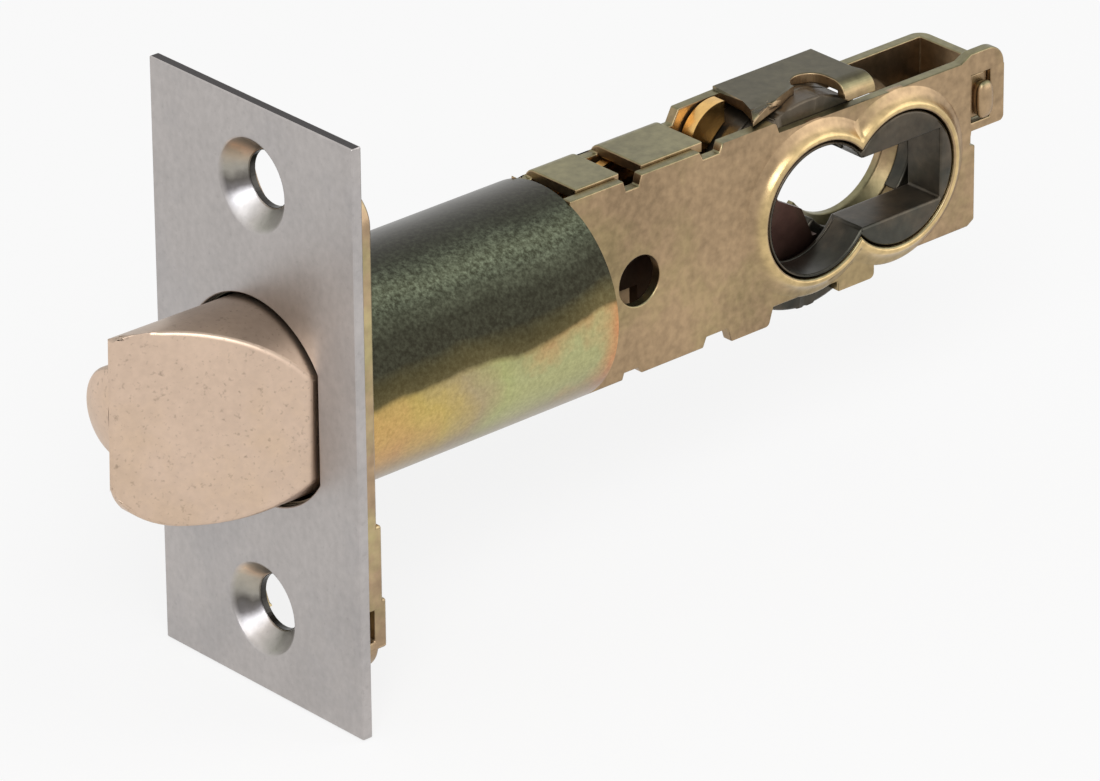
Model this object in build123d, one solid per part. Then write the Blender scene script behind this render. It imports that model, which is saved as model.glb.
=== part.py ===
from build123d import *
import os

# Deadlatch. X runs along the bolt from the faceplate front (x = 0) to the case,
# the bolt points to -X, the cover side of the case is -Y and Z is up. Millimetres.

# Faceplate
plate_w = 25.4
plate_h = 53.5
plate_t = 1.0
hole_pitch = 38.7
sink_r = 4.15
screw_r = 2.5
sink_depth = 1.9
dimple_r = 5.3
dimple_depth = 2.3

# Backing plate
back_w = 24.0
back_h = 43.6
back_t = 1.5
back_corner_r = 2.9
back_hole_r = 2.6
dish_r = 6.2
dish_depth = 1.5
pry_low = 14.9
pry_high = 19.4
pry_step = 0.85

# Barrel
barrel_r = 9.7
barrel_neck_r = 9.5
barrel_wall = 0.6
barrel_end = 31.3
bore_r = barrel_r - barrel_wall

# Latchbolt
bolt_r = 8.8
bolt_near = -7.45
bolt_far = 2.8
bolt_out = 12.7
bolt_rear = 9.5
bolt_corner_r = 2.0
bevel_tip_y = 2.6
bevel_end_x = -0.4
opening_gap = 0.3

# Plunger
plunger_flat = 3.05
plunger_r = 3.7
plunger_out = 12.2
plunger_rear = 8.0
plunger_dome_r = 9.0

# Springs and their stop in the barrel
stop_front = 24.5
stop_t = 2.4
stop_rear = stop_front + stop_t
latch_spring_y = -4.1
latch_spring_r = 2.35
latch_wire = 0.7
latch_turns = 11
latch_pocket_x = 2.0
plunger_spring_y = 5.0
plunger_spring_r = 1.5
plunger_wire = 0.45
plunger_turns = 7

# Case
case_half = 3.75
sheet_t = 1.0
case_in = case_half - sheet_t
lobe_front = 59.4
lobe_rear = 68.95
lobe_r = 6.3
far_lip_r = 6.0
collar_lip_r = 6.8
collar_foot_r = 7.9
collar_h = 0.95
case_top = 9.3
case_bottom = -9.2
case_rear = 79.1
wall_bend_r = 1.3
wall_top = 8.3
ear_rear = 82.0
ear_top = 8.7
ear_low = 1.35
slot_rear = 80.4
slot_low = 2.1
slot_top = 6.6
bridge_top = 10.5
bridge_rear = 65.95

# Spindle guide casting
guide_r = 9.75
guide_split = -0.45
guide_hub_r = 6.1
guide_hub_y = -4.6
guide_rear = 77.3
guide_half_z = 7.2
window_rear = 73.6
window_half_z = 3.3
window_front_r = 6.0

# Draw fork
fork_near = -0.2
fork_far = 0.8
fork_end = 63.0
prong_in = 4.9
prong_out = 6.2
fork_base = 42.0
block_front = stop_rear + 0.2
block_rear = block_front + 9.9
block_half = 3.0

# Plunger bar and deadlock lever
bar_near = 1.2
bar_far = 2.4
lever_near = 1.2
lever_far = 2.5
pivot_x = 48.5
pivot_z = 5.9
stud_r = 1.25
pivot_fit = 0.03


def box(x0, x1, y0, y1, z0, z1):
    return Pos((x0 + x1) / 2, (y0 + y1) / 2, (z0 + z1) / 2) * Box(x1 - x0, y1 - y0, z1 - z0)


def rod_x(r, x0, x1, y=0, z=0):
    return Pos((x0 + x1) / 2, y, z) * Rot(0, 90, 0) * Cylinder(r, x1 - x0)


def rod_y(r, y0, y1, x, z=0):
    return Pos(x, (y0 + y1) / 2, z) * Rot(90, 0, 0) * Cylinder(r, y1 - y0)


def cone_x(r0, r1, x0, x1, z):
    return Pos((x0 + x1) / 2, 0, z) * Rot(0, 90, 0) * Cone(r0, r1, x1 - x0)


def cone_y(r0, r1, y0, y1, x):
    turn = 90 if y1 < y0 else -90
    return Pos(x, (y0 + y1) / 2, 0) * Rot(turn, 0, 0) * Cone(r0, r1, abs(y1 - y0))


def collar(x, side):
    steps = [(collar_foot_r, 0), (collar_foot_r - 0.55, 0.17), (collar_lip_r + 0.1, 0.55), (collar_lip_r, collar_h - 0.1)]
    steps += [(collar_lip_r - 0.1, collar_h), (lobe_r - 1, collar_h), (lobe_r - 1, 0)]
    return ring_y([(r, side * (case_half + y)) for r, y in steps], x)


def sheet(points, y0, y1):
    outline = Polyline(*[(x, y0, z) for x, z in points], close=True)
    return extrude(make_face(outline), amount=y1 - y0, dir=(0, 1, 0))


def flat(points, z0, z1):
    outline = Polyline(*[(x, y, z0) for x, y in points], close=True)
    return extrude(make_face(outline), amount=z1 - z0, dir=(0, 0, 1))


def ring_y(points, x):
    outline = Polyline(*[(x + r, y, 0) for r, y in points], close=True)
    return revolve(make_face(outline), Axis((x, 0, 0), (0, 1, 0)), 360)


def corners_y(solid, spots, r):
    edges = [
        e for e in solid.edges().filter_by(Axis.Y)
        if any(abs(e.center().X - x) < 0.05 and abs(e.center().Z - z) < 0.05 for x, z in spots)
    ]
    return fillet(edges, r)


def corners_x(solid, spots, r):
    edges = [
        e for e in solid.edges().filter_by(Axis.X)
        if any(abs(e.center().Y - y) < 0.05 and abs(e.center().Z - z) < 0.05 for y, z in spots)
    ]
    return fillet(edges, r)


def coil(x0, x1, y, r, wire, turns):
    length = x1 - x0 - wire
    path = Helix(pitch=length / turns, height=length, radius=r, center=(x0 + wire / 2, y, 0), direction=(1, 0, 0))
    return sweep(Plane(origin=path @ 0, z_dir=path % 0) * RegularPolygon(0.55 * wire, 6), path=path)


parts = {}

# Faceplate: flat front, two pressed screw seats, opening for bolt and plunger.
opening_r = bolt_r + opening_gap + 0.05
bolt_opening = rod_x(opening_r, -1, plate_t + 1) & box(-1, plate_t + 1, bolt_near - 0.3, plunger_flat, -12, 12)
plunger_opening = rod_x(plunger_r + 0.3, -1, plate_t + 1, plunger_flat) & box(-1, 3, plunger_flat, 9, -6, 6)
faceplate = box(0, plate_t, -plate_w / 2, plate_w / 2, -plate_h / 2, plate_h / 2)
for z in (-hole_pitch / 2, hole_pitch / 2):
    faceplate += cone_x(dimple_r, dimple_r - 2.0, 0, dimple_depth, z)
    faceplate -= cone_x(sink_r, screw_r, 0, sink_depth, z)
    faceplate -= rod_x(screw_r, -1, dimple_depth + 1, 0, z)
faceplate -= bolt_opening + plunger_opening
parts["faceplate"] = faceplate

# Backing plate: flat, dished round each screw seat, pressed back beside the edge for prying the faceplate off.
back_rear = plate_t + back_t
dish_rear = back_rear + dish_depth
edge_y = back_w / 2
backing_plate = box(plate_t, back_rear, -edge_y, edge_y, -back_h / 2, back_h / 2)
for z in (-hole_pitch / 2, hole_pitch / 2):
    backing_plate += cone_x(dish_r, dish_r - 1.2, back_rear, dish_rear, z)
pry_tab = box(plate_t + pry_step, back_rear + pry_step, -edge_y, 1.1 - edge_y, -pry_high, -pry_low)
pry_tab += box(plate_t + pry_step, back_rear + pry_step - 0.35, -edge_y, 1.1 - edge_y, -pry_low, 6.8 - pry_low)
pry_gap = box(plate_t - 1, plate_t + pry_step + 0.3, -edge_y - 1, 0.9 - edge_y, 0.8 - pry_high, -pry_low - 0.8)
for turn in (0, 180):
    backing_plate += Rot(turn, 0, 0) * pry_tab
    backing_plate -= Rot(turn, 0, 0) * pry_gap
backing_plate &= extrude(Plane.YZ * RectangleRounded(back_w, back_h, back_corner_r), amount=20)
backing_plate -= rod_x(barrel_neck_r, 0, 6)
for z in (-hole_pitch / 2, hole_pitch / 2):
    backing_plate -= cone_x(4.6, 3.35, plate_t, plate_t + 1.4, z)
    backing_plate -= rod_x(back_hole_r, 0, 6, 0, z)
parts["backing_plate"] = backing_plate

# Barrel: drawn tube, its neck swaged through the backing plate.
barrel = rod_x(barrel_neck_r, plate_t, plate_t + back_t) + rod_x(barrel_r, plate_t + back_t, barrel_end)
parts["barrel"] = barrel - rod_x(bore_r, 0, barrel_end + 1)

# Latchbolt: clipped cylinder with a long bevel on the near side and rounded nose corners.
nose_block = Pos(20 - bolt_out, 0, 0) * Rot(90, 0, 0) * extrude(RectangleRounded(40, 2 * bolt_r, bolt_corner_r), amount=20, both=True)
latchbolt = rod_x(bolt_r, -bolt_out, bolt_rear) & nose_block & box(-bolt_out, bolt_rear, bolt_near, bolt_far, -9, 9)
run_x = bevel_end_x + bolt_out
run_y = bolt_near - 0.15 - bevel_tip_y
bevel = flat(
    [
        (-bolt_out - 0.2 * run_x, bevel_tip_y - 0.2 * run_y),
        (bevel_end_x + 0.1 * run_x, bevel_tip_y + 1.1 * run_y),
        (-bolt_out - 4, bevel_tip_y + 1.2 * run_y),
    ],
    -10,
    10,
)
latchbolt -= bevel
head_front = bolt_rear - 4.0
head_half = 6.2
pin_x = bolt_rear - 2.0
pin_z = 4.6
pin_r = 1.0
latchbolt -= box(head_front, bolt_rear + 1, fork_near, fork_far, -head_half, head_half)
latchbolt -= box(-9.2, bolt_rear + 1, fork_far, bolt_far + 1, -2.3, 2.3)
latchbolt -= rod_x(3.0, latch_pocket_x, bolt_rear + 1, latch_spring_y)
for z in (-pin_z, pin_z):
    latchbolt -= rod_y(pin_r, -5.4, bolt_far + 1, pin_x, z)
parts["latchbolt"] = latchbolt

# Two pins hold the head of the draw fork in the bolt.
parts["tail_pin_upper"] = rod_y(pin_r, -5.4, bolt_far, pin_x, pin_z)
parts["tail_pin_lower"] = rod_y(pin_r, -5.4, bolt_far, pin_x, -pin_z)

# Draw fork: one flat sheet with head, strap, stop block, two prongs and their claws.
draw_fork = box(head_front, bolt_rear, fork_near, fork_far, -head_half, head_half)
draw_fork += box(bolt_rear, block_front, fork_near, fork_far, -2.0, 2.0)
draw_fork -= box(block_front - 2.5, block_front, fork_near, fork_far, 0.6, 3.0)
draw_fork += box(block_front, block_rear, fork_near, fork_far, -block_half, block_half)
draw_fork += box(block_rear, fork_base, fork_near, fork_far, -block_half, 0.6)
draw_fork += box(fork_base, fork_base + 4.5, fork_near, fork_far, -prong_out, prong_out)
for s in (-1, 1):
    draw_fork += box(fork_base + 4.0, fork_end, fork_near, fork_far, min(s * prong_in, s * prong_out), max(s * prong_in, s * prong_out))
lower_claw = [(57.3, -prong_in), (57.3, 0.4), (58.2, 0.2), (58.4, -0.35), (61.2, -1.95), (62.5, -prong_in)]
upper_claw = [(58.5, prong_in), (58.8, 4.75), (62.2, 4.75), (62.5, prong_in)]
draw_fork += sheet(lower_claw, fork_near, fork_far)
draw_fork += sheet(upper_claw, fork_near, fork_far)
for z in (-pin_z, pin_z):
    draw_fork -= rod_y(pin_r, -6, 6, pin_x, z)
parts["draw_fork"] = draw_fork

# Spring stop across the barrel, with slots for strap and bar.
spring_stop = rod_x(bore_r, stop_front, stop_rear)
spring_stop -= box(stop_front - 1, stop_rear + 1, fork_near - 0.3, fork_far + 0.3, -2.3, 2.3)
spring_stop -= box(stop_front - 1, stop_rear + 1, bar_near - 0.25, bar_far + 0.25, -3.3, 2.3)
spring_stop -= rod_x(1.0, stop_front - 1, stop_rear + 1, latch_spring_y)
parts["spring_stop"] = spring_stop
parts["spring_guide"] = rod_x(1.5, 15.3, stop_front, latch_spring_y) + rod_x(1.0, stop_front, stop_rear, latch_spring_y)

# Coil springs behind the bolt and behind the plunger.
parts["latch_spring"] = coil(latch_pocket_x, stop_front, latch_spring_y, latch_spring_r, latch_wire, latch_turns)
parts["plunger_spring"] = coil(
    plunger_rear, stop_front, plunger_spring_y, plunger_spring_r, plunger_wire, plunger_turns
)

# Plunger: D section with a domed nose and a lug that reaches into the bolt's groove.
dome = Pos(plunger_dome_r - plunger_out, plunger_flat, 0) * Sphere(plunger_dome_r)
plunger = rod_x(plunger_r, -plunger_out, plunger_rear, plunger_flat)
plunger &= dome + rod_x(plunger_r + 1, -6, plunger_rear, plunger_flat)
plunger &= box(-plunger_out, plunger_rear, plunger_flat, 9, -6, 6)
plunger += box(4.0, plunger_rear, bar_far, plunger_flat + 0.5, -1.7, 1.7)
plunger -= rod_y(0.7, 0, 4.2, 6.0)
parts["deadlock_plunger"] = plunger

# Bar from the plunger into the case: high tip under the lever, low in front of it.
bar_low = -3.0
bar_points = [
    (4.0, -1.9), (22.4, -1.9), (23.9, bar_low), (block_rear, bar_low), (block_rear, 1.9),
    (block_rear - 3.0, 1.9), (block_rear - 5.0, -1.2), (22.0, -1.2), (20.0, 1.5), (4.0, 1.5),
]
parts["plunger_bar"] = sheet(bar_points, bar_near, bar_far) - rod_y(0.7, 0, 4.2, 6.0)
parts["bar_rivet"] = rod_y(0.7, bar_near, 4.2, 6.0)

# Deadlock lever: nose on the bar, ear above the fork's block, round head behind the pivot.
lever_top = 7.4
lever_low = 4.4
nose = block_rear - 2.8
lever_points = [
    (nose, 2.2), (nose + 1.8, 2.2), (nose + 2.6, lever_low), (pivot_x, lever_low - 0.8), (pivot_x + 1.7, lever_low + 0.2),
    (pivot_x + 2.5, 6.0), (pivot_x + 2.0, lever_top), (nose, lever_top),
]
lever = sheet(lever_points, lever_near, lever_far)
head = rod_y(3.6, lever_near, lever_far, pivot_x + 4.5, pivot_z + 0.7)
lever += head & box(pivot_x, pivot_x + 4.9, lever_near, lever_far, lever_low, pivot_z + 6)
lever -= rod_y(guide_r + 0.45, 0, 4, lobe_front)
lever += box(block_rear + 0.3, block_rear + 1.6, fork_near + 0.1, lever_far, 3.3, 5.2)
lever -= box(block_rear, block_rear + 2.0, bar_near, lever_far, 3.0, lever_low - 0.4)
lever -= rod_y(stud_r + pivot_fit, 0, 4, pivot_x, pivot_z)
parts["deadlock_lever"] = lever
stud = rod_y(stud_r, 1.0, case_half, pivot_x, pivot_z) + rod_y(2.0, 0.98, 1.15, pivot_x, pivot_z)
parts["lever_stud"] = stud

# Leaf spring under the rear tab, presses the lever down.
leaf_points = [(44.5, 8.6), (41.0, 8.6), (37.0, 7.6), (37.0, 7.4), (41.1, 8.4), (44.5, 8.4)]
parts["lever_leaf"] = sheet(leaf_points, 1.4, 2.3)

# Lower edge that both side plates share.
lower_edge = [
    (66.5, -7.7), (66.5, -8.95), (62.2, -8.95), (62.2, -8.0), (54.6, -8.0), (54.0, -9.6),
    (49.6, -9.6), (49.2, -8.3), (46.8, -8.3), (46.4, case_bottom), (39.3, case_bottom), (38.9, -8.6),
    (37.3, -8.6), (37.1, case_bottom), (stop_rear, case_bottom),
]
tongue_trim = box(stop_rear - 1, barrel_end, -5, 5, -12, 12) - rod_x(bore_r, stop_rear - 2, barrel_end + 1)

# Cover: near side plate, notched edges, slotted rear ear, figure-eight with raised collars.
cover_top = [
    (stop_rear, case_top), (37.3, case_top), (37.6, 8.3), (39.1, 8.3), (39.4, case_top), (46.0, case_top), (46.4, 8.5),
    (48.3, 8.5), (48.6, case_top), (54.8, case_top), (55.2, 8.15), (76.8, 8.15), (78.0, ear_top), (ear_rear, ear_top),
    (ear_rear, ear_low), (78.0, ear_low), (78.0, 0.1), (78.6, -0.1), (78.6, -7.2), (77.8, -7.7),
]
cover = sheet(cover_top + lower_edge, -case_half, -case_in)
cover = corners_y(cover, [(ear_rear, ear_top)], 1.9)
cover = corners_y(cover, [(ear_rear, ear_low), (54.0, -9.6), (66.5, -8.95), (54.8, case_top)], 0.5)
cover -= tongue_trim
for x in (lobe_front, lobe_rear):
    cover += collar(x, -1)
for x in (lobe_front, lobe_rear):
    cover -= rod_y(lobe_r, -6, 0, x)
    cover -= cone_y(lobe_r + 0.6, lobe_r, -case_in, -case_in - 0.7, x)
cover -= rod_y(2.3, -6, 0, 39.1, -0.5)
cover -= box(case_rear - sheet_t, slot_rear, -6, 0, slot_low, slot_top)
parts["case_cover"] = cover

# Case back: far side plate with rear wall and tenon, tabs to the cover and the bridge.
bridge_low = bridge_top - sheet_t
wall_edge = case_rear - wall_bend_r
back_top = [
    (stop_rear, case_top), (barrel_end, case_top), (barrel_end + 0.3, 8.8), (48.8, 8.8), (49.5, 10.1), (54.3, 10.2),
    (54.3, bridge_top), (bridge_rear, bridge_top), (bridge_rear, wall_top), (wall_edge, wall_top), (wall_edge, -7.7),
]
back = sheet(back_top + lower_edge, case_in, case_half)
rear_wall = box(case_rear - sheet_t, case_rear, -case_in, case_half, -7.7, wall_top)
rear_wall += box(case_rear - 2 * wall_bend_r, case_rear, case_in, case_half, -7.7, wall_top)
outer_edge = rear_wall.edges().filter_by(Axis.Z).sort_by(lambda e: e.center().X + e.center().Y)[-1]
back += fillet(outer_edge, wall_bend_r)
back -= tongue_trim
tabs = [(32.8, 37.7), (40.2, 47.2)]
for x0, x1 in tabs:
    upper_tab = box(x0, x1, -case_in, case_half, 8.6, 9.6) + box(x0, x1, case_in, case_half, 7.0, 9.6)
    back += corners_x(upper_tab, [(case_half, 9.6)], 1.2)
for x0, x1 in [(32.8, 36.6), (40.2, 46.0)]:
    back += box(x0, x1, -case_in, case_half, case_bottom, case_bottom + sheet_t)

# Bridge over the spindle guide: folded from the far plate, its near edge bent down with an arch in it.
bridge_plan = [
    (54.3, case_half), (bridge_rear, case_half), (bridge_rear, -1.5), (bridge_rear + 0.6, -case_half),
    (52.2, -case_half), (53.3, -2.2), (54.0, -0.5),
]
bridge = flat(bridge_plan, bridge_low, bridge_top)
near_wall = flat(bridge_plan, bridge_low - 0.8, bridge_top)
bridge += near_wall & box(55.4, bridge_rear + 1, -case_half, -case_in, 0, bridge_top)
bend = box(50, bridge_rear + 1, -case_half, case_half, 0, bridge_top)
bend = corners_x(bend, [(-case_half, bridge_top)], 1.5)
bridge &= corners_x(bend, [(case_half, bridge_top)], 1.0)
bridge -= box(59.35, 62.9, -5, -1.35, 7, 12) + Pos(61.125, -1.35, 9) * Cylinder(1.775, 6)
bridge = corners_y(bridge, [(62.9, bridge_low - 0.8)], 0.6)
back += bridge
back -= rod_y(guide_r, -case_in, case_in, lobe_front)

# Tenon of the rear wall, upset in the cover's slot.
back += box(wall_edge + 0.6, case_rear, -case_half, 0, slot_low + 0.2, slot_top - 0.2)
tenon = box(wall_edge + 0.9, slot_rear - 0.05, -case_half - 0.25, -case_in, slot_low + 0.2, slot_top - 0.2)
back += chamfer(tenon.faces().sort_by(Axis.Y)[0].edges(), 0.2)
for x in (lobe_front, lobe_rear):
    back += collar(x, 1)
for x in (lobe_front, lobe_rear):
    back -= rod_y(far_lip_r, 0, 6, x)
    back -= cone_y(far_lip_r + 1.0, far_lip_r, case_in, case_in + 1.2, x)
back -= rod_y(stud_r, 0, 6, pivot_x, pivot_z)
parts["case_back"] = back

# Spindle guide, near half: disc and tail between the plates, hub in the rear lobe, window.
guide_near = rod_y(guide_r, -case_in, guide_split, lobe_front)
guide_near += box(lobe_front, guide_rear, -case_in, guide_split, -guide_half_z, guide_half_z)
guide_near += rod_y(guide_hub_r, guide_hub_y, guide_split, lobe_rear)
guide_near -= rod_y(window_front_r, -6, 0, lobe_front)
guide_near -= box(lobe_front, window_rear, -6, 0, -window_half_z, window_half_z)
lug = sheet([(60.2, 6.4), (60.9, 5.3), (65.6, 2.9), (66.5, 4.0), (65.0, 6.4)], -case_in, guide_split)
guide_near += lug
parts["spindle_guide_near"] = guide_near

# Spindle guide, far half: track for the draw fork and a wide opening.
guide_far = rod_y(guide_r, guide_split, case_in, lobe_front)
guide_far += box(lobe_front, guide_rear, guide_split, case_in, -guide_half_z, guide_half_z)
track_half = prong_out + 0.3
guide_far -= box(40, window_rear + 2.6, guide_split - 1, fork_far + 0.3, -track_half, track_half)
guide_far -= rod_y(far_lip_r, -1, 6, lobe_front)
guide_far -= rod_y(6.6, -1, 6, lobe_rear)
parts["spindle_guide_far"] = guide_far

os.makedirs("parts", exist_ok=True)
for name, solid in parts.items():
    solid.label = name
    export_step(solid, f"parts/{name}.step")
    print(name, round(solid.volume, 1), len(solid.solids()))
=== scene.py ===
import bmesh
import bpy
import math
from mathutils import Matrix, Vector


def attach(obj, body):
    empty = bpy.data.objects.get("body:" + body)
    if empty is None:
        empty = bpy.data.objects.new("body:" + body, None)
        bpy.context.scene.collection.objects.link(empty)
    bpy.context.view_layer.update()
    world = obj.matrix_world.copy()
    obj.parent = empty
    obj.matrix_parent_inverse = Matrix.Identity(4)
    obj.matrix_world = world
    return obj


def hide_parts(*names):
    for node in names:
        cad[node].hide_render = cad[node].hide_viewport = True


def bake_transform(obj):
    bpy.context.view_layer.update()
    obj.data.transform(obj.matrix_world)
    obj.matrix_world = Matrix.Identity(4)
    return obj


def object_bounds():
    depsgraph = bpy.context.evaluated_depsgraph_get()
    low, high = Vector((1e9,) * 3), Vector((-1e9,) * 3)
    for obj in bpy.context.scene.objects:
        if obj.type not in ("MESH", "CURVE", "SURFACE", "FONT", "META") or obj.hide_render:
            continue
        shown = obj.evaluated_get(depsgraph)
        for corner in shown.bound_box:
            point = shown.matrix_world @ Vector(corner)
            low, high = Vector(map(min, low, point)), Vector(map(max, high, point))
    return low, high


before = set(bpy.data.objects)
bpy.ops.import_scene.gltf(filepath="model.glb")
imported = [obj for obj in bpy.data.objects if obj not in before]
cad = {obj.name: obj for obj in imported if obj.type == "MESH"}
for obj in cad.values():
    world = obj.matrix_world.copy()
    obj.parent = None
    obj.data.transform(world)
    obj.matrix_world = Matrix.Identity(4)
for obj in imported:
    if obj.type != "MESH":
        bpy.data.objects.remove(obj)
cad_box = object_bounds()


# Studio: a pale floor under the faceplate's lower edge and a white room around it,
# with one large soft lamp at the upper left and a weaker one at the right.
def add(tree, kind, values=None, **settings):
    """Adds a shader node, with its settings and the values of inputs that nothing feeds."""
    made = tree.nodes.new("ShaderNode" + kind)
    for name, setting in settings.items():
        setattr(made, name, setting)
    for socket, value in (values or {}).items():
        made.inputs[socket].default_value = value
    return made


def link(tree, *links):
    """Links shader nodes, each link given as a source, its output, a target and its input."""
    for source, output, target, socket in links:
        tree.links.new(source.outputs[output], target.inputs[socket])


white = (1.0, 1.0, 1.0, 1.0)
world = bpy.data.worlds.new("white_room")
bpy.context.scene.world = world
world.use_nodes = True
room = world.node_tree
room.nodes.clear()
room_path = add(room, "LightPath")
room_seen = add(room, "Math", operation="MAXIMUM")
room_seen_all = add(room, "Math", operation="MAXIMUM")
room_lit = add(room, "Background", {"Color": white, "Strength": 0.5})
room_shown = add(room, "Background", {"Color": white, "Strength": 1.0})
room_mix = add(room, "MixShader")
room_out = add(room, "OutputWorld")
link(
    room,
    (room_path, "Is Camera Ray", room_seen, 0),
    (room_path, "Is Glossy Ray", room_seen, 1),
    (room_seen, 0, room_seen_all, 0),
    (room_path, "Is Transmission Ray", room_seen_all, 1),
    (room_seen_all, 0, room_mix, "Fac"),
    (room_lit, 0, room_mix, 1),
    (room_shown, 0, room_mix, 2),
    (room_mix, 0, room_out, "Surface"),
)

floor_gap = 0.0002
floor_mesh = bpy.data.meshes.new("floor")
floor_mesh.from_pydata([(-3, -3, 0), (3, -3, 0), (3, 3, 0), (-3, 3, 0)], [], [(0, 1, 2, 3)])
floor = bpy.data.objects.new("floor", floor_mesh)
bpy.context.scene.collection.objects.link(floor)
floor.location.z = cad_box[0][2] - floor_gap
floor_paint = bpy.data.materials.new("pale_floor")
floor_paint.use_nodes = True
paint = floor_paint.node_tree
paint.nodes.clear()
paint_diffuse = add(paint, "BsdfDiffuse", {"Color": (0.92, 0.92, 0.92, 1.0)})
paint_white = add(paint, "Emission", {"Strength": 1.0})
paint_path = add(paint, "LightPath")
paint_seen = add(paint, "Math", operation="MAXIMUM")
paint_part = add(paint, "Math", {1: 0.8}, operation="MULTIPLY")
paint_mix = add(paint, "MixShader")
paint_out = add(paint, "OutputMaterial")
link(
    paint,
    (paint_path, "Is Camera Ray", paint_seen, 0),
    (paint_path, "Is Glossy Ray", paint_seen, 1),
    (paint_seen, 0, paint_part, 0),
    (paint_part, 0, paint_mix, "Fac"),
    (paint_diffuse, 0, paint_mix, 1),
    (paint_white, 0, paint_mix, 2),
    (paint_mix, 0, paint_out, "Surface"),
)
floor_mesh.materials.append(floor_paint)

lit_middle = Vector((0.035, 0, 0))
for lamp_name, lamp_place, size, power in (
    ("soft_key", (-0.55, -0.65, 0.75), 0.6, 6.0),
    ("soft_fill", (0.7, -0.6, 0.35), 0.8, 2.5),
):
    lamp_data = bpy.data.lights.new(lamp_name, "AREA")
    lamp_data.size = size
    lamp_data.energy = power
    lamp = bpy.data.objects.new(lamp_name, lamp_data)
    lamp.location = lamp_place
    aim = lit_middle - Vector(lamp_place)
    lamp.rotation_euler = aim.to_track_quat("-Z", "Y").to_euler()
    bpy.context.scene.collection.objects.link(lamp)

# Camera: a long lens at the left front and above, where the photograph was taken,
# turned and shifted so that the faceplate and the case lie where they do there.
stand = (-0.407509, -0.496001, 0.314298)
turn, rise, tilt = math.radians(-41.59), math.radians(26.17), math.radians(-0.53)
right = Vector((math.cos(turn), math.sin(turn), 0))
back = Vector((math.sin(turn) * math.cos(rise), -math.cos(turn) * math.cos(rise), math.sin(rise)))
up = back.cross(right)
camera_x = right * math.cos(tilt) + up * math.sin(tilt)
camera_y = up * math.cos(tilt) - right * math.sin(tilt)
camera_data = bpy.data.cameras.new("photo_view")
camera_data.sensor_width = 36
camera_data.lens = 284.98
camera_data.shift_x = -0.00455
camera_data.shift_y = 0.01523
camera_data.clip_start = 0.05
camera_data.clip_end = 20
camera = bpy.data.objects.new("photo_view", camera_data)
axes = Matrix((camera_x, camera_y, back)).transposed().to_4x4()
camera.matrix_world = Matrix.Translation(stand) @ axes
bpy.context.scene.collection.objects.link(camera)
bpy.context.scene.camera = camera
bpy.context.scene.view_settings.view_transform = "Standard"


# Faceplate: flat steel, satin plated with a fine vertical grain. The bolt opening is punched, and the two screw
# seats are pressed in;
# their colour is a painted reflection, light, warm and dark by the angle round each screw.
def finish(name, base, rough, metal=1.0, grain=(900, 900, 900), spread=0.06, bump=0.02,
           patch=None, upper=None, painted_light_from=0.35, specks=0.0):
    """A plated or cast skin: fine grain, soft patches, dark specks and a painted light or shade tone for faces
    that look up.
    """
    made = bpy.data.materials.new(name)
    made.use_nodes = True
    tree = made.node_tree
    shader = tree.nodes["Principled BSDF"]
    shader.inputs["Metallic"].default_value = metal
    place = add(tree, "TexCoord")
    stretch = add(tree, "Mapping", {"Scale": grain})
    fine = add(tree, "TexNoise", {"Scale": 1.0, "Detail": 4.0})
    cloud = add(tree, "TexNoise", {"Scale": 140.0, "Detail": 5.0})
    both = add(tree, "Math", operation="ADD")
    shade = add(
        tree, "MapRange", {"From Min": 0.7, "From Max": 1.3, "To Min": 1.0 - spread, "To Max": 1.0 + spread},
    )
    spots = add(tree, "TexNoise", {"Scale": 95.0, "Detail": 7.0, "Roughness": 0.65})
    cut = add(tree, "MapRange", {"From Min": 0.48, "From Max": 0.62})
    tone = add(tree, "Mix", {"A": (*base, 1.0), "B": (*(patch or base), 1.0)}, data_type="RGBA", name="patches")
    # Painted light: faces that look up take the upper tone, a painted shade or highlight standing in for how
    # the light falls on them.
    facing = add(tree, "NewGeometry")
    facing_parts = add(tree, "SeparateXYZ")
    painted_light_share = add(tree, "MapRange", {
        "From Min": painted_light_from, "From Max": 0.5 + 0.5 * painted_light_from, "To Max": 1.0 if upper else 0.0,
    })
    over = add(tree, "Mix", {"B": (*(upper or base), 1.0)}, data_type="RGBA", name="painted_light_faces")
    pores = add(tree, "TexNoise", {"Scale": 2400.0, "Detail": 3.0})
    pits = add(tree, "MapRange", {"From Min": 0.60, "From Max": 0.78, "To Min": 1.0, "To Max": 1.0 - specks})
    pitted = add(tree, "Math", operation="MULTIPLY")
    colour = add(tree, "VectorMath", operation="SCALE")
    dull = add(tree, "MapRange", {"To Min": rough - 0.06, "To Max": rough + 0.06})
    relief = add(tree, "Bump", {"Strength": 0.5, "Distance": bump / 1000})
    link(
        tree,
        (place, "Object", stretch, "Vector"),
        (place, "Object", cloud, "Vector"),
        (place, "Object", spots, "Vector"),
        (place, "Object", pores, "Vector"),
        (stretch, "Vector", fine, "Vector"),
        (fine, "Fac", both, 0),
        (cloud, "Fac", both, 1),
        (both, 0, shade, "Value"),
        (spots, "Fac", cut, "Value"),
        (cut, "Result", tone, "Factor"),
        (tone, "Result", over, "A"),
        (facing, "Normal", facing_parts, "Vector"),
        (facing_parts, "Z", painted_light_share, "Value"),
        (painted_light_share, "Result", over, "Factor"),
        (over, "Result", colour, 0),
        (pores, "Fac", pits, "Value"),
        (shade, "Result", pitted, 0),
        (pits, "Result", pitted, 1),
        (pitted, 0, colour, "Scale"),
        (colour, "Vector", shader, "Base Color"),
        (cloud, "Fac", dull, "Value"),
        (dull, "Result", shader, "Roughness"),
        (fine, "Fac", relief, "Height"),
        (relief, "Normal", shader, "Normal"),
    )
    return made


def whereabouts(tree):
    """The place on the object, whole and parted into x, y and z."""
    place = add(tree, "TexCoord")
    parted = add(tree, "SeparateXYZ")
    link(tree, (place, "Object", parted, "Vector"))
    return place, parted


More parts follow.
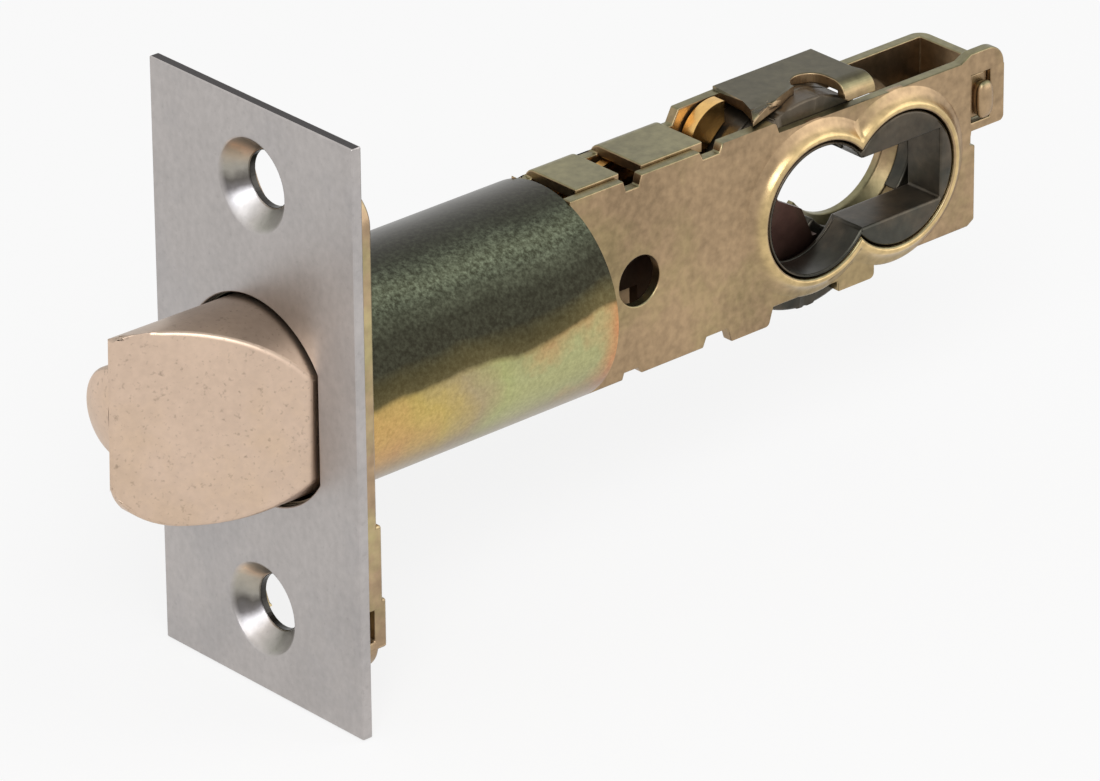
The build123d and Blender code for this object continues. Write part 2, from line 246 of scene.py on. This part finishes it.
def bearing(tree, across, upward, waver, stray):
    """The direction round an axis as a share of a full turn, wavering by stray to either side."""
    around = add(tree, "Math", operation="ARCTAN2")
    band = add(tree, "MapRange", {"From Min": -math.pi, "From Max": math.pi})
    shift = add(tree, "MapRange", {"To Min": -stray, "To Max": stray})
    moved = add(tree, "Math", operation="ADD")
    link(
        tree,
        (*upward, around, 0),
        (*across, around, 1),
        (around, 0, band, "Value"),
        (waver, "Fac", shift, "Value"),
        (band, "Result", moved, 0),
        (shift, "Result", moved, 1),
    )
    return moved


def ramp(tree, stops):
    """A run of tones, where a single number is a grey."""
    made = add(tree, "ValToRGB")
    for i, (spot, tone) in enumerate(stops):
        stop = made.color_ramp.elements[i] if i < 2 else made.color_ramp.elements.new(spot)
        stop.position = spot
        stop.color = (*tone, 1.0) if isinstance(tone, tuple) else (tone, tone, tone, 1.0)
    return made


def by_angle(stops):
    """Tones at angles in degrees, as shares of a full turn."""
    return [((angle + 180) / 360, tone) for angle, tone in stops]


def loft(rings, closed=False):
    """A block through rings of points in millimetres, capped at both ends or closed on itself."""
    size = len(rings[0])
    points = [Vector(point) / 1000 for ring in rings for point in ring]
    faces = []
    for k in range(len(rings) if closed else len(rings) - 1):
        low, high = k * size, (k + 1) % len(rings) * size
        faces += [(low + i, low + (i + 1) % size, high + (i + 1) % size, high + i) for i in range(size)]
    if not closed:
        faces += [tuple(range(size)), tuple(range(len(points) - size, len(points)))]
    mesh = bpy.data.meshes.new("block")
    mesh.from_pydata(points, [], faces)
    skin = bmesh.new()
    skin.from_mesh(mesh)
    bmesh.ops.recalc_face_normals(skin, faces=skin.faces)
    skin.to_mesh(mesh)
    skin.free()
    block = bpy.data.objects.new("block", mesh)
    bpy.context.scene.collection.objects.link(block)
    return block


def prism(outline, axis, low, high):
    """An outline in millimetres, extruded along one axis."""
    order = {"x": (2, 0, 1), "y": (0, 2, 1), "z": (0, 1, 2)}[axis]
    return loft([[tuple((a, b, h)[k] for k in order) for a, b in outline] for h in (low, high)])


def arc(a, b, r, start, end, steps=32):
    """Points on a round stretch of an outline, angles in degrees."""
    angles = [math.radians(start + (end - start) * i / steps) for i in range(steps + 1)]
    return [(a + r * math.cos(t), b + r * math.sin(t)) for t in angles]


weld = 2e-6


def blank(node):
    """A copy of a CAD piece as one closed skin."""
    skin = bmesh.new()
    skin.from_mesh(cad[node].data)
    bmesh.ops.remove_doubles(skin, verts=skin.verts, dist=weld)
    mesh = bpy.data.meshes.new(node + "_skin")
    skin.to_mesh(mesh)
    skin.free()
    mesh.transform(cad[node].matrix_world)
    made = bpy.data.objects.new(node + "_skin", mesh)
    bpy.context.scene.collection.objects.link(made)
    return made


def carve(made, *cuts):
    """Cuts, joins or trims a piece with blocks, one after the other."""
    for kind, tool in cuts:
        step = made.modifiers.new("cut", "BOOLEAN")
        step.operation = kind
        step.solver = "EXACT"
        step.object = tool
    shaped = made.evaluated_get(bpy.context.evaluated_depsgraph_get())
    mesh = bpy.data.meshes.new_from_object(shaped)
    made.modifiers.clear()
    made.data = mesh
    for kind, tool in cuts:
        bpy.data.objects.remove(tool)
    return made


def soften(made, width, steps=2, sharp=28, rolled=None, reach=0.0):
    """Rounds the sharp edges off by a width in millimetres, and by four widths near a rolled place."""
    widest = 4 * width if rolled else width
    share = width / widest
    work = bmesh.new()
    work.from_mesh(made.data)
    bmesh.ops.remove_doubles(work, verts=work.verts, dist=weld)
    bmesh.ops.dissolve_limit(work, angle_limit=math.radians(0.6), verts=work.verts, edges=work.edges)
    weight = work.edges.layers.float.new("bevel_weight_edge")
    for edge in work.edges:
        if len(edge.link_faces) == 2 and edge.calc_face_angle(0) > math.radians(sharp):
            shortest = min(other.calc_length() for end in edge.verts for other in end.link_edges)
            edge[weight] = share if shortest > 0.6 * width / 1000 else 0.0
            middle = (edge.verts[0].co + edge.verts[1].co) / 2
            if rolled and (middle - Vector(rolled) / 1000).length < reach / 1000:
                edge[weight] = 1.0
    bmesh.ops.triangulate(work, faces=[face for face in work.faces if len(face.verts) > 4])
    work.to_mesh(made.data)
    work.free()
    made.data.shade_smooth()
    made.data.set_sharp_from_angle(angle=math.radians(sharp))
    edges = made.modifiers.new("edges", "BEVEL")
    edges.width = widest / 1000
    edges.segments = steps
    edges.limit_method = "WEIGHT"
    edges.use_clamp_overlap = False
    edges.loop_slide = False
    even = made.modifiers.new("even", "WEIGHTED_NORMAL")
    even.weight = 60
    even.keep_sharp = True
    return made


def show(made, name, body, material, node=None):
    """Names a piece, gives it its finish and lets it ride its body."""
    made.name = name
    made.data.name = name
    made.data.materials.clear()
    made.data.materials.append(material)
    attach(made, body)
    if node:
        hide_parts(node)
    return made


screw_z, seat_r, seat_reflection_r = 19.35, 4.25, 3.8
# Faces of the faceplate that look up are painted almost black, a painted shade.
satin_plate = finish(
    "satin_plate", (0.46, 0.43, 0.415), 0.38, grain=(1500, 1500, 1300), spread=0.09, bump=0.006,
    patch=(0.43, 0.405, 0.395), upper=(0.035, 0.03, 0.03), painted_light_from=0.93, specks=0.12,
)
tree = satin_plate.node_tree
place, parted = whereabouts(tree)
side = add(tree, "Math", operation="SIGN")
nearest_screw = add(tree, "Math", {1: screw_z / 1000}, operation="MULTIPLY")
above_screw = add(tree, "Math", operation="SUBTRACT")
from_screw = add(tree, "CombineXYZ")
screw_r = add(tree, "VectorMath", operation="LENGTH")
seat_reflection_share = add(tree, "MapRange", {"From Min": seat_r / 1000, "From Max": seat_reflection_r / 1000})
seat_reflection_waver = add(tree, "TexNoise", {"Scale": 420.0, "Detail": 4.0})
seat_turn = bearing(tree, (parted, "Y"), (above_screw, 0), seat_reflection_waver, 0.05)
# Painted reflection on the screw seats: bright, warm and dark patches by the angle round the screw.
seat_reflection_tones = ramp(tree, by_angle([
    (-180, (0.40, 0.38, 0.36)), (-110, (0.34, 0.33, 0.29)), (-82, (0.50, 0.47, 0.44)),
    (-60, (0.74, 0.71, 0.70)), (-40, (0.52, 0.51, 0.53)), (-25, (0.15, 0.14, 0.14)),
    (-13, (0.12, 0.11, 0.10)), (2, (0.34, 0.32, 0.28)), (30, (0.50, 0.45, 0.37)),
    (48, (0.80, 0.60, 0.43)), (68, (0.42, 0.36, 0.29)), (110, (0.26, 0.23, 0.19)),
    (180, (0.40, 0.38, 0.36)),
]))
seat_reflection_mix = add(tree, "Mix", data_type="RGBA")
link(
    tree,
    (parted, "Z", side, 0),
    (side, 0, nearest_screw, 0),
    (parted, "Z", above_screw, 0),
    (nearest_screw, 0, above_screw, 1),
    (parted, "Y", from_screw, "X"),
    (above_screw, 0, from_screw, "Y"),
    (from_screw, "Vector", screw_r, 0),
    (screw_r, "Value", seat_reflection_share, "Value"),
    (place, "Object", seat_reflection_waver, "Vector"),
    (seat_turn, 0, seat_reflection_tones, "Fac"),
    (seat_reflection_share, "Result", seat_reflection_mix, "Factor"),
    (tree.nodes["patches"], "Result", seat_reflection_mix, "A"),
    (seat_reflection_tones, "Color", seat_reflection_mix, "B"),
    (seat_reflection_mix, "Result", tree.nodes["painted_light_faces"], "A"),
)
opening_r, opening_half, opening_depth = 9.25, 147.4, 1.5
opening = arc(0, 0, opening_r, -opening_half, opening_half, 96)
front = carve(blank("faceplate"), ("DIFFERENCE", prism(opening, "x", -1, opening_depth)))
show(soften(front, 0.12), "front_plate", "case", satin_plate, "faceplate")

# The walls inside the screw holes are painted near black, a painted shade.
painted_seat_shade = finish("painted_seat_shade", (0.06, 0.057, 0.052), 0.35, spread=0.4)
wall_front, wall_rear, wall_in, wall_out = 1.95, 2.5, 2.46, 2.55
wall_section = ((wall_front, wall_in), (wall_rear, wall_in), (wall_rear, wall_out), (wall_front, wall_out))
for end, z in (("upper", screw_z), ("lower", -screw_z)):
    rings = [[(x, a, b) for a, b in arc(0, z, r, 0, 360, 48)[:-1]] for x, r in wall_section]
    show(loft(rings, closed=True), end + "_seat_wall", "case", painted_seat_shade)


# Backing plate: pressed steel in yellow zinc behind the faceplate, dished round the
# two screw seats, with a clear hole behind each and the barrel fixed in its middle.
def rod(r, axis, low, high, a=0.0, b=0.0, steps=96):
    """A round bar, to cut with or to join."""
    return prism(arc(a, b, r, 0, 360, steps)[:-1], axis, low, high)


clear_r = 4.3
yellow_zinc = finish("yellow_zinc", (0.41, 0.29, 0.18), 0.35, spread=0.25, patch=(0.42, 0.35, 0.18))
inner_plate = carve(
    blank("backing_plate"),
    ("DIFFERENCE", rod(clear_r, "x", 0, 5, 0, screw_z)),
    ("DIFFERENCE", rod(clear_r, "x", 0, 5, 0, -screw_z)),
)
show(soften(inner_plate, 0.2), "inner_plate", "case", yellow_zinc, "backing_plate")


# Barrel: deep-drawn steel tube in yellow zinc, dark olive above with a painted highlight stripe, and gold with
# pink and green bloom below.
# The dark and gold tones by angle round the tube are partly the zinc's own colour and partly painted
# reflection.
def coat(node, material):
    """Gives a CAD piece its finish."""
    mesh = cad[node].data
    mesh.materials.clear()
    mesh.materials.append(material)


bloom_length = 0.032
drawn_zinc = finish("drawn_zinc", (0.42, 0.36, 0.20), 0.30, spread=0.2)
tree = drawn_zinc.node_tree
place, parted = whereabouts(tree)
to_near_side = add(tree, "Math", {1: -1.0}, operation="MULTIPLY")
drift = add(tree, "TexNoise", {"Scale": 60.0, "Detail": 6.0})
barrel_turn = bearing(tree, (to_near_side, 0), (parted, "Z"), drift, 0.045)
# Tones by angle round the tube: the near-black upper band and the lighter band within it are painted
# reflection, the gold below partly so.
colour_and_reflection_bands = ramp(tree, by_angle([
    (-180, (0.10, 0.09, 0.06)), (-90, (0.20, 0.15, 0.10)), (-52, (0.26, 0.20, 0.13)),
    (-36, (0.25, 0.18, 0.09)), (-24, (0.40, 0.31, 0.12)), (-12, (0.50, 0.38, 0.14)),
    (0, (0.50, 0.38, 0.13)), (8, (0.36, 0.28, 0.10)), (11, (0.12, 0.095, 0.04)),
    (20, (0.055, 0.045, 0.02)), (27, (0.022, 0.02, 0.013)), (40, (0.022, 0.021, 0.014)),
    (52, (0.05, 0.052, 0.034)), (60, (0.085, 0.09, 0.055)), (70, (0.045, 0.047, 0.032)),
    (84, (0.028, 0.026, 0.018)), (100, (0.04, 0.035, 0.025)), (180, (0.10, 0.09, 0.06)),
]))
warp = add(tree, "MapRange", {"To Min": -0.016, "To Max": 0.016})
warped = add(tree, "Math", operation="ADD")
along = add(tree, "MapRange", {"From Max": bloom_length})
bloom = ramp(tree, [
    (0.0, (0.52, 0.40, 0.12)), (0.16, (0.68, 0.33, 0.14)), (0.38, (0.60, 0.44, 0.13)),
    (0.50, (0.42, 0.34, 0.22)), (0.66, (0.42, 0.48, 0.22)), (0.80, (0.42, 0.46, 0.24)),
    (0.91, (0.70, 0.26, 0.13)), (1.0, (0.48, 0.37, 0.17)),
])
bloom_band = ramp(tree, [(0.34, 0.0), (0.395, 0.25), (0.43, 0.6), (0.49, 0.75), (0.52, 0.6), (0.532, 0.0)])
bloom_mix = add(tree, "Mix", data_type="RGBA")
# A light greenish stripe across the dark upper band, broken up by noise: a painted highlight. The same noise
# also speckles the whole tube.
highlight_and_speckle_noise = add(tree, "TexNoise", {"Scale": 2600.0, "Detail": 9.0, "Roughness": 0.7})
highlight_cut = add(tree, "MapRange", {"From Min": 0.40, "From Max": 0.75})
highlight_band = ramp(tree, [
    (0.53, 0.06), (0.61, 0.05), (0.635, 0.15), (0.66, 0.7), (0.685, 0.45), (0.71, 0.1), (0.78, 0.05),
])
highlight_share = add(tree, "Math", operation="MULTIPLY")
highlight_mix = add(tree, "Mix", {"B": (0.32, 0.37, 0.25, 1.0)}, data_type="RGBA")
speckle = add(tree, "MapRange", {"From Min": 0.35, "From Max": 0.65, "To Min": 0.80, "To Max": 1.12})
mottled = add(tree, "VectorMath", operation="SCALE")
link(
    tree,
    (parted, "Y", to_near_side, 0),
    (place, "Object", drift, "Vector"),
    (barrel_turn, 0, colour_and_reflection_bands, "Fac"),
    (drift, "Fac", warp, "Value"),
    (parted, "X", warped, 0),
    (warp, "Result", warped, 1),
    (warped, 0, along, "Value"),
    (along, "Result", bloom, "Fac"),
    (barrel_turn, 0, bloom_band, "Fac"),
    (bloom_band, "Color", bloom_mix, "Factor"),
    (colour_and_reflection_bands, "Color", bloom_mix, "A"),
    (bloom, "Color", bloom_mix, "B"),
    (place, "Object", highlight_and_speckle_noise, "Vector"),
    (highlight_and_speckle_noise, "Fac", highlight_cut, "Value"),
    (barrel_turn, 0, highlight_band, "Fac"),
    (highlight_cut, "Result", highlight_share, 0),
    (highlight_band, "Color", highlight_share, 1),
    (highlight_share, 0, highlight_mix, "Factor"),
    (bloom_mix, "Result", highlight_mix, "A"),
    (highlight_and_speckle_noise, "Fac", speckle, "Value"),
    (highlight_mix, "Result", mottled, 0),
    (speckle, "Result", mottled, "Scale"),
    (mottled, "Vector", tree.nodes["Principled BSDF"], "Base Color"),
)
coat("barrel", drawn_zinc)


# Latchbolt: cast brass, tumbled and plated in a warm satin nickel, a round bar with a
# long bevel, slotted for the plunger's lug, the spring, the draw fork and its pins.
def slab(x0, x1, y0, y1, z0, z1):
    """A block between two corners, to cut with or to join."""
    return prism([(x0, z0), (x1, z0), (x1, z1), (x0, z1)], "y", y0, y1)


# Faces of the bolt and plunger that look up are painted a darker brown, a painted shade.
satin_nickel = finish(
    "satin_nickel", (0.66, 0.50, 0.385), 0.38, grain=(1500, 1500, 1500), spread=0.07, bump=0.01,
    patch=(0.64, 0.48, 0.355), upper=(0.44, 0.345, 0.27), specks=0.36,
)
bolt_r, nose_x, bolt_rear = 8.8, -12.56, 9.5
bolt_near, bolt_far, bevel_end_x = -7.45, 4.0, -0.57
upper_nose_r, lower_nose_r = 1.2, 4.0
nose_up = math.radians(1.3)
side_view = [(bolt_rear, -9), (bolt_rear, 9), (-9.5, 9)]
side_view += arc(nose_x + upper_nose_r, 7.2, upper_nose_r, 100, 180, 8)
side_view += arc(nose_x + lower_nose_r, -4.8, lower_nose_r, 180, 270, 12)
bolt_plan = [(bevel_end_x, bolt_near), (bolt_rear, bolt_near), (bolt_rear, bolt_far), (nose_x + 0.2, bolt_far)]
bolt_plan += [(nose_x, bolt_far - 0.25), (nose_x, 3.6), (nose_x + 0.08, 3.3), (nose_x + 0.3, 3.02)]
fork_slot = slab(5.5, 11, -0.2, 0.8, -6.2, 6.2)
lug_groove = slab(-9.2, 11, 0.7, 5.0, -2.3, 2.3)
spring_pocket = rod(3.0, "x", 2.0, 11, -4.1, 0)
pin_r, pin_x, pin_z = 1.0, 7.5, 4.6
bolt_head = carve(
    rod(bolt_r, "x", nose_x - 1, bolt_rear + 1),
    ("INTERSECT", prism(side_view, "y", -10, 10)),
    ("INTERSECT", prism(bolt_plan, "z", -11, 11)),
    ("DIFFERENCE", fork_slot),
    ("DIFFERENCE", lug_groove),
    ("DIFFERENCE", spring_pocket),
    ("DIFFERENCE", rod(pin_r, "y", -5.4, 5.0, pin_x, pin_z)),
    ("DIFFERENCE", rod(pin_r, "y", -5.4, 5.0, pin_x, -pin_z)),
)
for point in bolt_head.data.vertices:
    if point.co.x < 0:
        point.co.rotate(Matrix.Rotation(nose_up, 3, "Y"))
show(soften(bolt_head, 0.3, 3), "bolt_head", "bolt", satin_nickel, "latchbolt")

# Deadlock plunger: a D-shaped pin in the same cast and plated brass, with a domed
# tip. Its lug slides in the bolt's groove and takes the rivet of the plunger bar.
flat_y, plunger_r, plunger_z = 4.25, 4.15, 0.8
dome_r, plunger_tip, plunger_rear = 9.0, -12.2, 8.0
dome_end = plunger_tip + dome_r - math.sqrt(dome_r**2 - plunger_r**2)
profile = [(plunger_tip + dome_r - math.sqrt(dome_r**2 - r * r), r) for r in (0.6, 1.4, 2.2, 3.0, 3.7)]
profile += [(dome_end, plunger_r), (plunger_rear, plunger_r)]
rings = [[(x, flat_y + a, plunger_z + b) for a, b in arc(0, 0, r, -90, 90, 48)] for x, r in profile]
plunger_head = carve(
    loft(rings),
    ("UNION", slab(4.0, plunger_rear, 2.4, 4.75, -1.7, 1.7)),
    ("DIFFERENCE", rod(0.7, "y", 0, 4.2, 6.0, 0)),
)
show(soften(plunger_head, 0.25, 3, 24), "plunger_head", "plunger", satin_nickel, "deadlock_plunger")

# Works in the barrel and case: fork and bar stamped from browned strip, pins, rivet,
# stud and guide rod turned in bright steel, lever and leaf stamped and zinc plated gold.
brown_steel = finish("brown_steel", (0.075, 0.05, 0.036), 0.42, spread=0.25, patch=(0.085, 0.045, 0.036))
bright_steel = finish("bright_steel", (0.45, 0.45, 0.46), 0.30, spread=0.1)
gold_steel = finish("gold_steel", (0.72, 0.45, 0.16), 0.25, spread=0.2)
for material, pieces in (
    (brown_steel, ("draw_fork", "plunger_bar")),
    (bright_steel, ("tail_pin_upper", "tail_pin_lower", "spring_guide", "bar_rivet", "lever_stud")),
    (gold_steel, ("deadlock_lever", "lever_leaf")),
):
    for node in pieces:
        coat(node, material)

# Springs: wound from round spring wire with closed ends, one behind the bolt and a
# finer one behind the plunger, both pressed against the stop in the barrel.
spring_wire = finish("spring_wire", (0.42, 0.42, 0.44), 0.28, grain=(3000, 3000, 3000), spread=0.12)
stop_x, end_turns, wire_sides, turn_steps = 24.4, 1.2, 8, 20
for name, node, body, front_x, wound_y, wound_r, wire_d, open_turns in (
    ("bolt_coil", "latch_spring", "bolt", 2.0, -4.1, 2.35, 0.7, 9),
    ("plunger_coil", "plunger_spring", "plunger", 8.0, 6.1, 1.5, 0.45, 12),
):
    first, last = front_x + wire_d / 2 + 0.05, stop_x - wire_d / 2
    open_length = last - first - 2 * end_turns * wire_d
    all_turns = open_turns + 2 * end_turns
    rings = []
    for i in range(int(all_turns * turn_steps) + 1):
        wound = i / turn_steps
        closed_part = (min(wound, end_turns) + max(0.0, wound - all_turns + end_turns)) * wire_d
        open_part = min(max(wound - end_turns, 0.0), open_turns) / open_turns
        x = first + closed_part + open_part * open_length
        t = 2 * math.pi * wound
        ring = []
        for j in range(wire_sides):
            u = 2 * math.pi * j / wire_sides
            r = wound_r + wire_d / 2 * math.cos(u)
            ring.append((x + wire_d / 2 * math.sin(u), wound_y + r * math.cos(t), r * math.sin(t)))
        rings.append(ring)
    spring = loft(rings)
    spring.data.shade_smooth()
    spring.name = name
    spring.data.materials.append(spring_wire)
    high = Vector((last - end_turns * wire_d, wound_y, 0)) / 1000
    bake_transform(spring)
    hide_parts(node)

# Spindle guide: two halves of a dark die casting with a slightly grainy skin, held
# between the case's plates. Both follow a keyhole outline, and the near one has the
# front lobe's hub and a rib.
dark_casting = finish(
    "dark_casting", (0.08, 0.064, 0.045), 0.34, metal=0.75, spread=0.35, bump=0.03,
    patch=(0.046, 0.044, 0.034),
)
front_lobe_x, rear_lobe_x = 59.4, 68.95
shell_r, shell_rear, slot_half = 9.75, 77.3, 4.6
shell_lean = math.degrees(math.asin(slot_half / shell_r))
keyhole = arc(front_lobe_x, 0, shell_r, shell_lean, 360 - shell_lean, 96)
keyhole += [(shell_rear, -slot_half), (shell_rear, slot_half)]
near_keyhole = arc(front_lobe_x, 0, shell_r, 41, 312, 96) + [(shell_rear, -7.2), (shell_rear, 6.4)]
hub_r, window_r, window_rear, window_half = 6.1, 5.85, 73.6, 3.3
window_lean = math.degrees(math.asin(window_half / window_r))
hub_window = arc(front_lobe_x, 0, window_r, window_lean, 360 - window_lean, 96)
hub_window += [(window_rear, -window_half), (window_rear, window_half)]
rib = [(60.2, 6.4), (60.9, 5.3), (65.6, 2.9), (66.5, 4.0), (65.0, 6.4)]
near_half = carve(
    blank("spindle_guide_near"),
    ("INTERSECT", prism(near_keyhole, "y", -6, -0.3)),
    ("UNION", rod(hub_r, "y", -4.6, -1.0, front_lobe_x, 0)),
    ("DIFFERENCE", prism(hub_window, "y", -6, -0.3)),
    ("UNION", prism(rib, "y", -2.7, -0.46)),
)
show(soften(near_half, 0.2), "guide_near", "case", dark_casting, "spindle_guide_near")
far_half = carve(blank("spindle_guide_far"), ("INTERSECT", prism(keyhole, "y", -1, 4)))
show(soften(far_half, 0.2), "guide_far", "case", dark_casting, "spindle_guide_far")

# Case: two steel stampings in a khaki zinc passivate with a fine speckle. The far one folds round into tabs,
# rear wall and the bridge, the near one closes the side.
# Faces that look up are painted a darker olive, and the bridge top darker still: painted shade.
tab_top_shade, bridge_top_shade = (0.21, 0.19, 0.106), (0.09, 0.08, 0.05)
khaki_zinc = finish(
    "khaki_zinc", (0.36, 0.25, 0.145), 0.36, grain=(1300, 1300, 1300), spread=0.26, bump=0.012,
    patch=(0.335, 0.25, 0.13), upper=tab_top_shade,
)
tree = khaki_zinc.node_tree
place, parted = whereabouts(tree)
# Painted shade: on the bridge top the up-facing tone turns darker still.
rearward = add(tree, "MapRange", {"From Min": 0.0490, "From Max": 0.0500})
raised = add(tree, "MapRange", {"From Min": 0.0101, "From Max": 0.0104})
bridge_shade_share = add(tree, "Math", operation="MULTIPLY")
top_shade_mix = add(tree, "Mix", {"A": (*tab_top_shade, 1.0), "B": (*bridge_top_shade, 1.0)}, data_type="RGBA")
link(
    tree,
    (parted, "X", rearward, "Value"),
    (parted, "Z", raised, "Value"),
    (rearward, "Result", bridge_shade_share, 0),
    (raised, "Result", bridge_shade_share, 1),
    (bridge_shade_share, 0, top_shade_mix, "Factor"),
    (top_shade_mix, "Result", tree.nodes["painted_light_faces"], "B"),
)
coat("spring_stop", khaki_zinc)
bridge_edge = [(50.5, -5.5), (50.5, -4.1), (52.3, -3.5), (59.9, -0.9), (60.3, -5.5)]
tenon_room = slab(78.2, 80.6, -4.4, -3.3, 1.8, 6.7)
back_plate = carve(
    blank("case_back"),
    ("DIFFERENCE", prism(bridge_edge, "z", 8.4, 12)),
    ("DIFFERENCE", tenon_room),
)
soften(back_plate, 0.13, 3, rolled=(56.4, -2.1, 10.5), reach=1.2)
show(back_plate, "back_shell", "case", khaki_zinc, "case_back")
show(soften(blank("case_cover"), 0.12), "cover_shell", "case", khaki_zinc, "case_cover")

# Collars: the cover's own metal, drawn out round both lobes of the spindle opening and rolled smooth at the
# lip.
# Their colour turns from khaki to light gold towards the lip, a painted highlight.
cover_y, lobe_r = -3.75, 6.3
collar_section = [
    (-0.04, -0.5), (-0.04, 0.62), (0.0, 0.80), (0.12, 0.94), (0.30, 1.0),
    (0.48, 0.97), (0.64, 0.86), (0.76, 0.70), (0.90, 0.52), (1.08, 0.36),
    (1.30, 0.22), (1.55, 0.11), (1.78, 0.03), (1.9, -0.06), (1.9, -0.5),
]
waist = (rear_lobe_x - front_lobe_x) / 2
rings = []
for out, high in collar_section:
    r = lobe_r + out
    lean = math.degrees(math.acos(waist / r))
    outline = arc(front_lobe_x, 0, r, lean, 360 - lean, 72)[:-1]
    outline += arc(rear_lobe_x, 0, r, 180 + lean, 540 - lean, 72)[:-1]
    rings.append([(x, cover_y - high, z) for x, z in outline])
collars = loft(rings, closed=True)
collars.data.shade_smooth()
rolled_zinc = finish(
    "rolled_zinc", (0.36, 0.25, 0.145), 0.30, grain=(1300, 1300, 1300), spread=0.26, bump=0.012,
    patch=(0.335, 0.25, 0.13), upper=(0.56, 0.41, 0.20),
)
# Painted highlight: the gold tone rises with the collar's height towards the lip.
tree = rolled_zinc.node_tree
place, parted = whereabouts(tree)
lip_highlight_share = add(tree, "MapRange", {"From Min": -0.0039, "From Max": -0.0047}, interpolation_type="SMOOTHSTEP")
link(
    tree,
    (parted, "Y", lip_highlight_share, "Value"),
    (lip_highlight_share, "Result", tree.nodes["painted_light_faces"], "Factor"),
)
show(collars, "cover_collars", "case", rolled_zinc)

# Tenon: the end of the far sheet's rear wall, passed through the slot in the cover's
# ear and staked over into a soft oblong bump that holds the two plates together.
tenon_x, tenon_z, tenon_half_x, tenon_half_z = 79.55, 4.05, 0.9, 1.75
rings = []
for high, share in ((-0.7, 0.85), (0.0, 1.0), (0.2, 1.0), (0.42, 0.86), (0.55, 0.6), (0.6, 0.3)):
    ring = []
    for i in range(32):
        t = math.pi * i / 16
        wide = abs(math.cos(t)) ** 0.7 * math.copysign(tenon_half_x, math.cos(t))
        tall = abs(math.sin(t)) ** 0.7 * math.copysign(tenon_half_z, math.sin(t))
        ring.append((tenon_x + share * wide, cover_y - high, tenon_z + share * tall))
    rings.append(ring)
tenon = loft(rings)
tenon.data.shade_smooth()
show(tenon, "tenon_head", "case", khaki_zinc)
